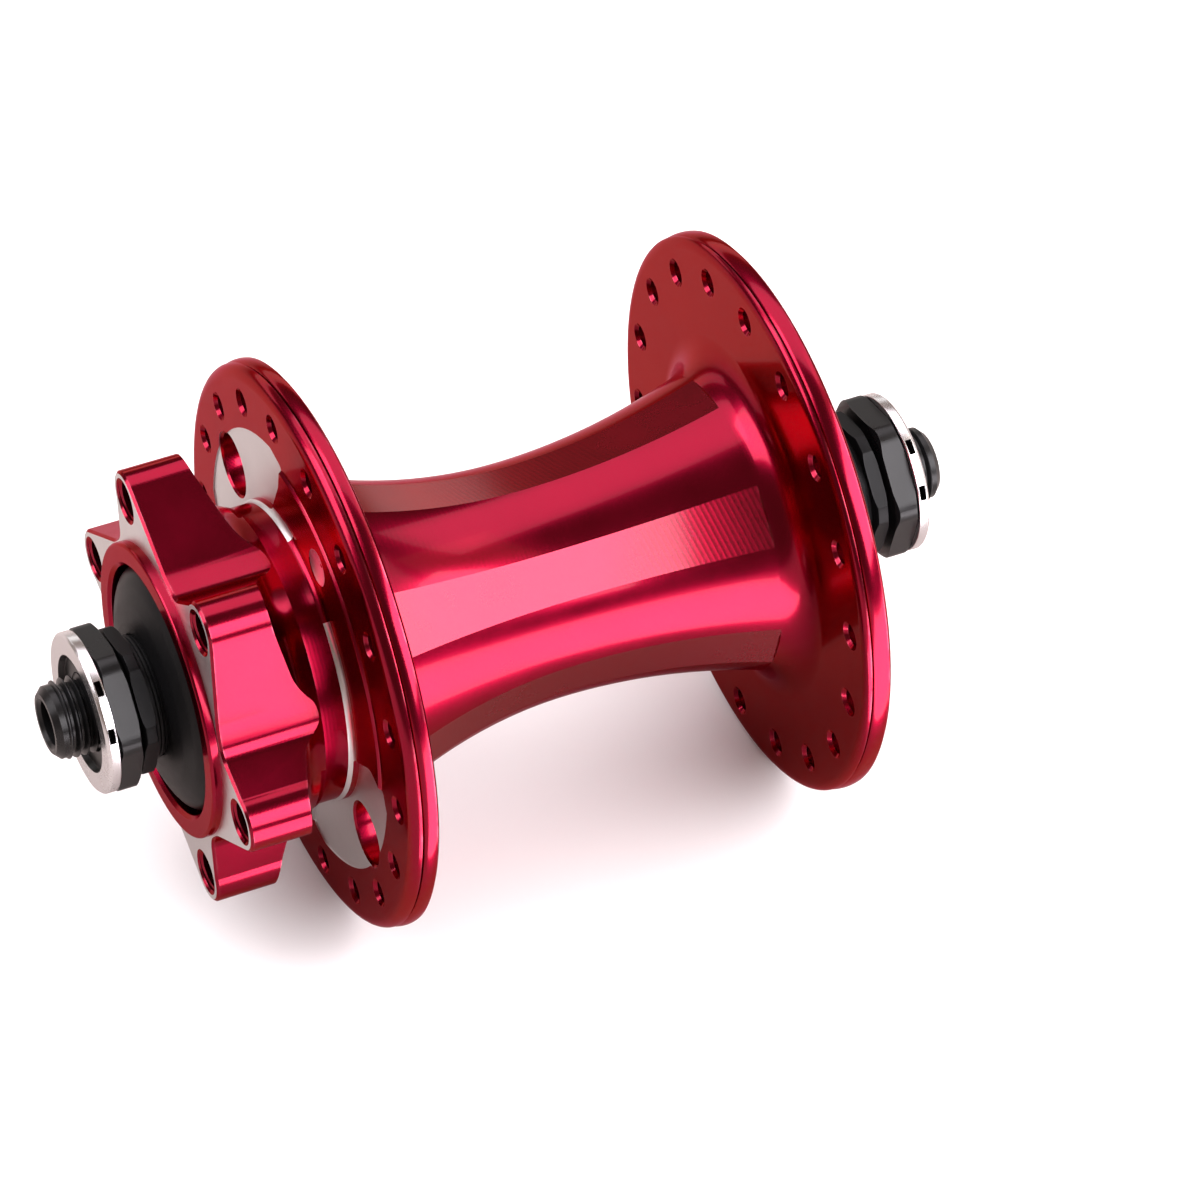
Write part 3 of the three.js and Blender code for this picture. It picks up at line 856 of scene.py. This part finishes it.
# ---- Operators -----------------------------------------------------------------------------------------
class HUB_OT_shell(bpy.types.Operator):
    """Build the hub shell with its flanges, flats, lugs, windows and holes."""

    bl_idname = "front_hub.shell"
    bl_label = "Hub Shell"

    def execute(self, context):
        shell = settings(context).shell
        disc, plain = turned_shell(shell)
        solid = shaped(disc, "UNION", barrel(shell))
        solid = shaped(solid, "UNION", plain)
        solid = shaped(solid, "UNION", rotor_mount(shell))
        cleared = together(*(cleared_face(window) for window in WINDOWS), scallops())
        taps, sinks = bolt_tools(shell)
        for tool in (cleared, window_tools(shell), spoke_tools(shell), taps, sinks, bores()):
            solid = shaped(solid, "DIFFERENCE", tool)
        finishes = [red_turned(shell), red_milled(shell), bare_machined(shell)]
        piece("hub_shell", "shell", solid, finishes, shell_finish(shell))
        return {"FINISHED"}


class HUB_OT_axle(bpy.types.Operator):
    """Build the hollow axle with a screw thread at each end."""

    bl_idname = "front_hub.axle"
    bl_label = "Axle"

    def execute(self, context):
        hardware = settings(context).hardware
        major, pitch = hardware.thread_radius / MM, hardware.thread_pitch / MM
        thread_depth, seat, nose = 0.6134 * pitch, 39.0, major - 0.3
        minor, bore = major - thread_depth, hardware.skewer_radius / MM
        solid = turned([(bore - 0.6, -seat), (AXLE_R, -seat, 0.3), (AXLE_R, seat, 0.3), (bore - 0.6, seat)])
        for side in SIDES.values():
            low, high = sorted((side * (seat - 1), side * AXLE_END))
            rod = thread(major, minor, pitch, low - 2, high + 2, sides=64)
            blank = [(0.0, seat - 1), (major, seat - 1), (major, AXLE_END - 1.5),
                     (nose, AXLE_END - 1.3), (0.0, AXLE_END - 1.3)]
            tip = [(0.0, AXLE_END - 2), (minor, AXLE_END - 2), (minor, AXLE_END - 1.6),
                   (nose, AXLE_END - 1.4), (nose, AXLE_END - 0.7), (nose - 0.7, AXLE_END), (0.0, AXLE_END)]
            blank, tip = ([(r, side * y) for r, y in outline] for outline in (blank, tip))
            solid = shaped(solid, "UNION", shaped(rod, "INTERSECT", lathe(blank)))
            solid = shaped(solid, "UNION", lathe(tip))
        hole = [(0.0, -AXLE_END - 1), (bore + 1.4, -AXLE_END - 1), (bore, -AXLE_END + 0.4),
                (bore, AXLE_END - 0.4), (bore + 1.4, AXLE_END + 1), (0.0, AXLE_END + 1)]
        solid = shaped(solid, "DIFFERENCE", lathe(hole))
        piece("axle", "axle_assembly", solid, [black_oxide_and_washer_shade(hardware)])
        return {"FINISHED"}


class HUB_OT_center_spacer(bpy.types.Operator):
    """Build the tube that holds the two inner rings apart."""

    bl_idname = "front_hub.center_spacer"
    bl_label = "Centre Spacer"

    def execute(self, context):
        shell = settings(context).shell
        end, outer, inner = span("center_spacer")[1].y, span("center_spacer")[1].x, AXLE_R + GAP
        points = [(inner, -end, 0.15), (outer, -end, 0.25), (outer, -end + 6), (outer - 0.35, -end + 6.5),
                  (outer - 0.35, end - 6.5), (outer, end - 6), (outer, end, 0.25), (inner, end, 0.15)]
        piece("center_spacer", "axle_assembly", turned(points), [bare_machined(shell)])
        return {"FINISHED"}


def hexagon(flats, corner, start, end):
    """A six-sided bar with slightly rounded corners."""
    points = [(*polar(flats / 2 / math.cos(math.pi / 6), 12.0 + 60.0 * k), corner) for k in range(6)]
    return prism(rounded(points), *sorted((start, end)))


def washer_finish_with_painted_shade(centre, _normal):
    """Says which of a washer's finishes a face has: plated, or the black finish as painted shade in the
    recess round the bore and inside the slots.
    """
    plated, painted_shade = 0, 1
    radius, depth = math.hypot(centre.x, centre.z), LOCKNUT_FACE - abs(centre.y)
    in_slot = 0.3 < depth < 1.2 and radius < WASHER_R - 0.1
    # painted shade: the recess round the bore and the insides of the slots take the black finish so that they
    # read as dark hollows
    return painted_shade if radius < 6.8 or in_slot else plated


class HUB_OT_washers(bpy.types.Operator):
    """Build the plated washers that bear on the fork ends."""

    bl_idname = "front_hub.washers"
    bl_label = "Washers"

    def execute(self, context):
        hardware = settings(context).hardware
        bore, recess = hardware.thread_radius / MM + GAP, 6.6
        for label, side in SIDES.items():
            points = [(bore, 0.8, 0.1), (recess, 0.8, 0.1), (recess + 0.2, 0.0, 0.1),
                      (WASHER_R - 0.3, 0.0, 0.15), (WASHER_R, 0.3, 0.2), (WASHER_R, 1.4, 0.15),
                      (bore, 1.4, 0.1)]
            solid = sided(side, points)
            for angle in WASHER_SLOTS:
                corners = ((7.7, -5.5), (10, -5.5), (10, 5.5), (7.7, 5.5))
                sector = [polar(radius, angle + lean) for radius, lean in corners]
                solid = shaped(solid, "DIFFERENCE", prism(sector, deep(side, 0.4), deep(side, 1.15)))
            # the second finish is painted shade in the recess and the slots
            piece(f"{label}_washer", "axle_assembly", solid,
                  [bright_steel(hardware), black_oxide_and_washer_shade(hardware)], washer_finish_with_painted_shade)
        return {"FINISHED"}


class HUB_OT_locknuts(bpy.types.Operator):
    """Build the black locknuts behind the washers."""

    bl_idname = "front_hub.locknuts"
    bl_label = "Locknuts"

    def execute(self, context):
        hardware = settings(context).hardware
        flats, bore = hardware.locknut_flats / MM, hardware.thread_radius / MM + GAP
        outer = flats / 2 + 0.95
        for label, side in SIDES.items():
            points = [(bore, 1.45), (outer - 0.7, 1.45, 0.1), (outer, 1.75, 0.15), (outer, 3.85, 0.15),
                      (outer - 0.7, 4.15, 0.1), (bore, 4.15)]
            bar = hexagon(flats, 2.6, deep(side, 0.5), deep(side, 5.0))
            solid = shaped(sided(side, points), "INTERSECT", bar)
            piece(f"{label}_locknut", "axle_assembly", solid, [black_oxide_and_washer_shade(hardware)])
        return {"FINISHED"}


class HUB_OT_axle_spacers(bpy.types.Operator):
    """Build the spacers, each a sleeve with a six-sided collar, between the locknuts and the bearings."""

    bl_idname = "front_hub.axle_spacers"
    bl_label = "Axle Spacers"

    def execute(self, context):
        hardware = settings(context).hardware
        flats, bore = hardware.collar_flats / MM, AXLE_R + GAP
        outer = flats / 2 + 0.65
        end = LOCKNUT_FACE - BEARING_MIDDLE - BEARING_HALF - GAP
        for label, side in SIDES.items():
            collar = [(bore, 4.7), (outer - 0.45, 4.7, 0.1), (outer, 4.9, 0.1), (outer, 6.1, 0.1),
                      (outer - 0.45, 6.3, 0.1), (bore, 6.3)]
            sleeve = [(bore, 4.2, 0.1), (6.6, 4.2, 0.1), (6.9, 4.5, 0.1), (6.9, 6.9, 0.1), (7.1, 7.0, 0.1),
                      (7.1, 7.3, 0.1), (6.9, 7.5, 0.1), (6.9, end, 0.2), (bore, end, 0.1)]
            bar = hexagon(flats, 2.2, deep(side, 4.0), deep(side, 7.0))
            nut = shaped(sided(side, collar), "INTERSECT", bar)
            solid = shaped(nut, "UNION", sided(side, sleeve))
            piece(f"{label}_axle_spacer", "axle_assembly", solid,
                  [black_anodised(hardware)])
        return {"FINISHED"}


class HUB_OT_dust_caps(bpy.types.Operator):
    """Build the domed dust caps that cover the bearings."""

    bl_idname = "front_hub.dust_caps"
    bl_label = "Dust Caps"

    def execute(self, context):
        hardware = settings(context).hardware
        bore, rim_r = 6.95, span("plain_dust_cap")[1].x
        dome = [(bore, 7.7, 0.2), (8.3, 7.7, 0.6), (10.5, 8.1, 4.0), (12.6, 8.9, 4.0),
                (13.7, 9.6, 2.0), (rim_r, 10.2, 0.5)]
        under = [(rim_r, 12.2, 0.2), (12.9, 12.2, 0.2), (12.9, 10.9, 0.2), (11.6, 10.1, 1.0),
                 (8.2, 9.3, 1.0), (bore, 9.3, 0.2)]
        for label, side in SIDES.items():
            piece(f"{label}_dust_cap", "axle_assembly", sided(side, dome + under),
                  [black_anodised(hardware)])
        return {"FINISHED"}


def track(pitch, radius, middle, start, end):
    """The groove that the balls run in."""
    return [tuple(p) for p in arc((pitch, middle), radius, start, end, 14)]


class HUB_OT_bearing_rings(bpy.types.Operator):
    """Build the inner and outer rings of both bearings, with their ball tracks."""

    bl_idname = "front_hub.bearing_rings"
    bl_label = "Bearing Rings"

    def execute(self, context):
        bearing = settings(context).bearing
        pitch, groove = bearing.pitch_radius / MM, BALL_R + 0.12
        inner_r, outer_r, half = span("plain_bearing_inner_ring")[1].x, 10.6, BEARING_HALF
        inner_step, outer_step, bore = 7.1, 11.4, AXLE_R + GAP
        reach = math.degrees(math.acos((pitch - inner_r) / groove))
        steel = [chrome_steel(bearing)]
        for label, side in SIDES.items():
            y = side * BEARING_MIDDLE
            inner = [(bore, y - half, 0.3), (inner_step, y - half, 0.2), (inner_step, y - half + 1.3, 0.1),
                     (inner_r, y - half + 1.6, 0.1)]
            inner += track(pitch, groove, y, 180 + reach, 180 - reach)
            inner += [(inner_r, y + half - 1.6, 0.1), (inner_step, y + half - 1.3, 0.1),
                      (inner_step, y + half, 0.2), (bore, y + half, 0.3)]
            outer = [(BEARING_R, y - half, 0.4), (outer_step, y - half, 0.15),
                     (outer_step, y - half + 1.2, 0.1), (outer_r, y - half + 1.2, 0.1)]
            outer += track(pitch, groove, y, -reach, reach)
            outer += [(outer_r, y + half - 1.2, 0.1), (outer_step, y + half - 1.2, 0.1),
                      (outer_step, y + half, 0.15), (BEARING_R, y + half, 0.4)]
            piece(f"{label}_bearing_inner_ring", "axle_assembly", turned(inner), steel)
            piece(f"{label}_bearing_outer_ring", "shell", turned(outer), steel)
        return {"FINISHED"}


class HUB_OT_seals(bpy.types.Operator):
    """Build the four rubber seals, each with a sunk web and a lip."""

    bl_idname = "front_hub.seals"
    bl_label = "Seals"

    def execute(self, context):
        bearing = settings(context).bearing
        outer, inner = 11.35, 7.32
        for label, side in SIDES.items():
            for where, face in (("outboard", side), ("inboard", -side)):
                y = side * BEARING_MIDDLE
                near, far = y + face * (BEARING_HALF - 0.15), y + face * (BEARING_HALF - 1.1)
                web = near - face * 0.3
                points = [(inner, far, 0.1), (inner, near, 0.2), (inner + 0.6, near, 0.2),
                          (inner + 0.9, web, 0.2), (outer - 0.9, web, 0.2), (outer - 0.6, near, 0.2),
                          (outer, near, 0.25), (outer, far, 0.1)]
                piece(f"{label}_bearing_{where}_seal", "shell", turned(points),
                      [seal_rubber(bearing)])
        return {"FINISHED"}


class HUB_OT_cages(bpy.types.Operator):
    """Build the two nylon cages with a pocket for each ball."""

    bl_idname = "front_hub.cages"
    bl_label = "Ball Cages"

    def execute(self, context):
        bearing = settings(context).bearing
        inner, outer, half, pocket_r, beyond = 8.2, 9.8, 2.75, 2.52, 4.0
        pocket = lathe([(0.0, -beyond), (pocket_r, -beyond), (pocket_r, beyond), (0.0, beyond)], 48)
        for label, side in SIDES.items():
            y = side * BEARING_MIDDLE
            solid = turned([(inner, y - half, 0.3), (outer, y - half, 0.3),
                            (outer, y + half, 0.3), (inner, y + half, 0.3)])
            tools = []
            for k in range(bearing.balls):
                angle = math.radians(90 + 360.0 * k / bearing.balls)
                turn = Matrix.Rotation(-angle, 4, "Y") @ Matrix.Translation((bearing.pitch_radius / MM, 0, 0))
                place = Matrix.Translation((0, y, 0)) @ turn @ Matrix.Rotation(math.radians(90), 4, "Z")
                tools.append(([place @ Vector(v) for v in pocket[0]], pocket[1]))
            solid = shaped(solid, "DIFFERENCE", together(*tools))
            piece(f"{label}_bearing_cage", f"{label}_cage", solid, [cage_nylon(bearing)])
        return {"FINISHED"}


class HUB_OT_balls(bpy.types.Operator):
    """Build the bearing balls."""

    bl_idname = "front_hub.balls"
    bl_label = "Balls"

    def execute(self, context):
        bearing = settings(context).bearing
        profile = arc((0, 0), BALL_R, -90, 90, 28)
        profile[0].x = profile[-1].x = 0.0
        ball = lathe([tuple(p) for p in profile], 56)
        for label in SIDES:
            for k in range(bearing.balls):
                node = f"{label}_bearing_ball_{k + 1}"
                low, high = span(node)
                middle = (low + high) / 2
                solid = moved(ball, middle.x, middle.z, middle.y)
                piece(node, f"{label}_ball_{k + 1}", solid, [chrome_steel(bearing)])
        return {"FINISHED"}


# ---- Stage ---------------------------------------------------------------------------------------------
FOCAL_LENGTH, SENSOR = 207.3, 36.0
AZIMUTH, ELEVATION = 66.03, 42.63              # degrees
RIGHT, UP, DISTANCE = 11.78, -1.16, 778.04     # millimetres from the origin, in the camera's own axes


def aim(made, target):
    """Turns an object so that its -Z looks at a place."""
    made.rotation_mode = "QUATERNION"
    made.rotation_quaternion = (Vector(target) - made.location).to_track_quat("-Z", "Y")


def panel_light(name, where, size, radiance, tint=(1.0, 1.0, 1.0), target=(0.0, 0.0, 0.0)):
    """A rectangular soft box of even radiance, given in metres."""
    data = bpy.data.lights.new(name, "AREA")
    data.shape = "RECTANGLE"
    data.size, data.size_y = size
    data.energy = radiance * math.pi * size[0] * size[1]
    data.color = tint
    made = placed(name, data)
    made.location = where
    aim(made, target)
    return made


def around(distance, across, along):
    """A place at an angle about the axle from +X towards +Z, and at an angle along it towards +Y."""
    flat = distance * math.cos(math.radians(along))
    p = polar(flat, across)
    return Vector((p.x, distance * math.sin(math.radians(along)), p.y))


def floor_material(tint):
    """Plain pale floor that looks darker in the polished metal than it does to the eye."""
    reflected_tint = (0.40, 0.35, 0.33, 1.0)
    made, tree, shader = surface("pale_floor")
    seen = add(tree, "ShaderNodeLightPath").outputs["Is Camera Ray"]
    tree.links.new(blend(tree, seen, reflected_tint, (*tint, 1.0)), shader["Base Color"])
    shader["Roughness"].default_value = 0.9
    shader["Specular IOR Level"].default_value = 0.1
    return made


class HUB_OT_stage(bpy.types.Operator):
    """Set up the floor, the soft lights and the camera."""

    bl_idname = "front_hub.stage"
    bl_label = "Stage"

    def execute(self, context):
        stage = settings(context).stage
        floor = bpy.data.meshes.new("floor")
        level = -FLANGE_R * MM
        corners = [(x, y, level) for x, y in ((-8, -8), (8, -8), (8, 8), (-8, 8))]
        floor.from_pydata(corners, [], [(0, 1, 2, 3)])
        floor.materials.append(floor_material(stage.floor))
        placed("floor", floor)

        panel_light("key_softbox", around(0.62, 39, 30), (0.70, 0.44), stage.key, (1.0, 0.96, 1.0))
        panel_light("overhead_panel", around(0.8, 116, 5), (1.3, 0.62), stage.overhead, (1.0, 0.93, 0.98))
        panel_light("warm_fill", around(0.8, 80, 36), (0.5, 0.3), 0.6, (1.0, 0.8, 0.5))
        panel_light("rotor_side_panel", around(0.7, 112, -44), (0.42, 0.6), stage.rotor_side,
                    (1.0, 0.96, 1.0))
        panel_light("rear_strip", around(0.7, 168, 0), (0.9, 0.16), 1.2)
        panel_light("plain_end_panel", (0.1, 0.8, 0.35), (0.6, 0.5), 1.3)
        card = panel_light("front_card", (0.20, 0.17, level + 0.001), (0.30, 0.4), stage.card,
                           (1.0, 0.94, 1.0), target=(0.20, 0.17, 1.0))
        card.visible_camera = False
        wash = panel_light("floor_wash", (0.0, 0.0, 1.4), (2.2, 2.2), 1.2)
        wash.visible_glossy = False

        world = bpy.data.worlds.new("studio")
        world.use_nodes = True
        sky = next(n for n in world.node_tree.nodes if n.type == "BACKGROUND")
        sky.inputs["Color"].default_value = (0.20, 0.14, 0.11, 1.0)
        sky.inputs["Strength"].default_value = 1.0
        context.scene.world = world
        context.scene.view_settings.view_transform = "Standard"

        lens = bpy.data.cameras.new("camera")
        lens.sensor_width, lens.lens = SENSOR, FOCAL_LENGTH
        lens.clip_start, lens.clip_end = 0.01, 50.0
        camera = placed("camera", lens)
        azimuth, elevation = math.radians(AZIMUTH), math.radians(ELEVATION)
        right = Vector((math.cos(azimuth), math.sin(azimuth), 0.0))
        level_ahead = Vector((-math.sin(azimuth), math.cos(azimuth), 0.0))
        ahead = level_ahead * math.cos(elevation) - Vector((0, 0, 1)) * math.sin(elevation)
        up = level_ahead * math.sin(elevation) + Vector((0, 0, 1)) * math.cos(elevation)
        camera.location = (right * RIGHT + up * UP - ahead * DISTANCE) * MM
        camera.rotation_mode = "QUATERNION"
        camera.rotation_quaternion = Matrix((right, up, -ahead)).transposed().to_quaternion()
        context.scene.camera = camera
        return {"FINISHED"}


class HUB_PT_panel(bpy.types.Panel):
    """Lists the pieces of the hub in the 3D view's sidebar."""

    bl_label = "Front Hub"
    bl_space_type = "VIEW_3D"
    bl_region_type = "UI"
    bl_category = "Front Hub"

    def draw(self, context):
        for title, part, operators in PANEL_ROWS:
            box = self.layout.box()
            box.label(text=title)
            group_settings = getattr(settings(context), part)
            for name in group_settings.__annotations__:
                box.prop(group_settings, name)
            for operator in operators:
                box.operator(operator.bl_idname)


PANEL_ROWS = (
    ("Shell", "shell", (HUB_OT_shell,)),
    ("Axle and Hardware", "hardware", (HUB_OT_axle, HUB_OT_center_spacer, HUB_OT_washers,
                                       HUB_OT_locknuts, HUB_OT_axle_spacers, HUB_OT_dust_caps)),
    ("Bearings", "bearing", (HUB_OT_bearing_rings, HUB_OT_seals, HUB_OT_cages, HUB_OT_balls)),
    ("Stage", "stage", (HUB_OT_stage,)),
)
OPERATORS = [operator for row in PANEL_ROWS for operator in row[2]]
CLASSES = [ShellSettings, HardwareSettings, BearingSettings, StageSettings, FrontHubSettings,
           *OPERATORS, HUB_PT_panel]


def register():
    for cls in CLASSES:
        bpy.utils.register_class(cls)
    bpy.types.Scene.front_hub = PointerProperty(type=FrontHubSettings)


def unregister():
    del bpy.types.Scene.front_hub
    for cls in reversed(CLASSES):
        bpy.utils.unregister_class(cls)


def main():
    """Builds everything in order."""
    register()
    for operator in OPERATORS:
        group_name, name = operator.bl_idname.split(".")
        getattr(getattr(bpy.ops, group_name), name)()


if __name__ == "__main__":
    main()
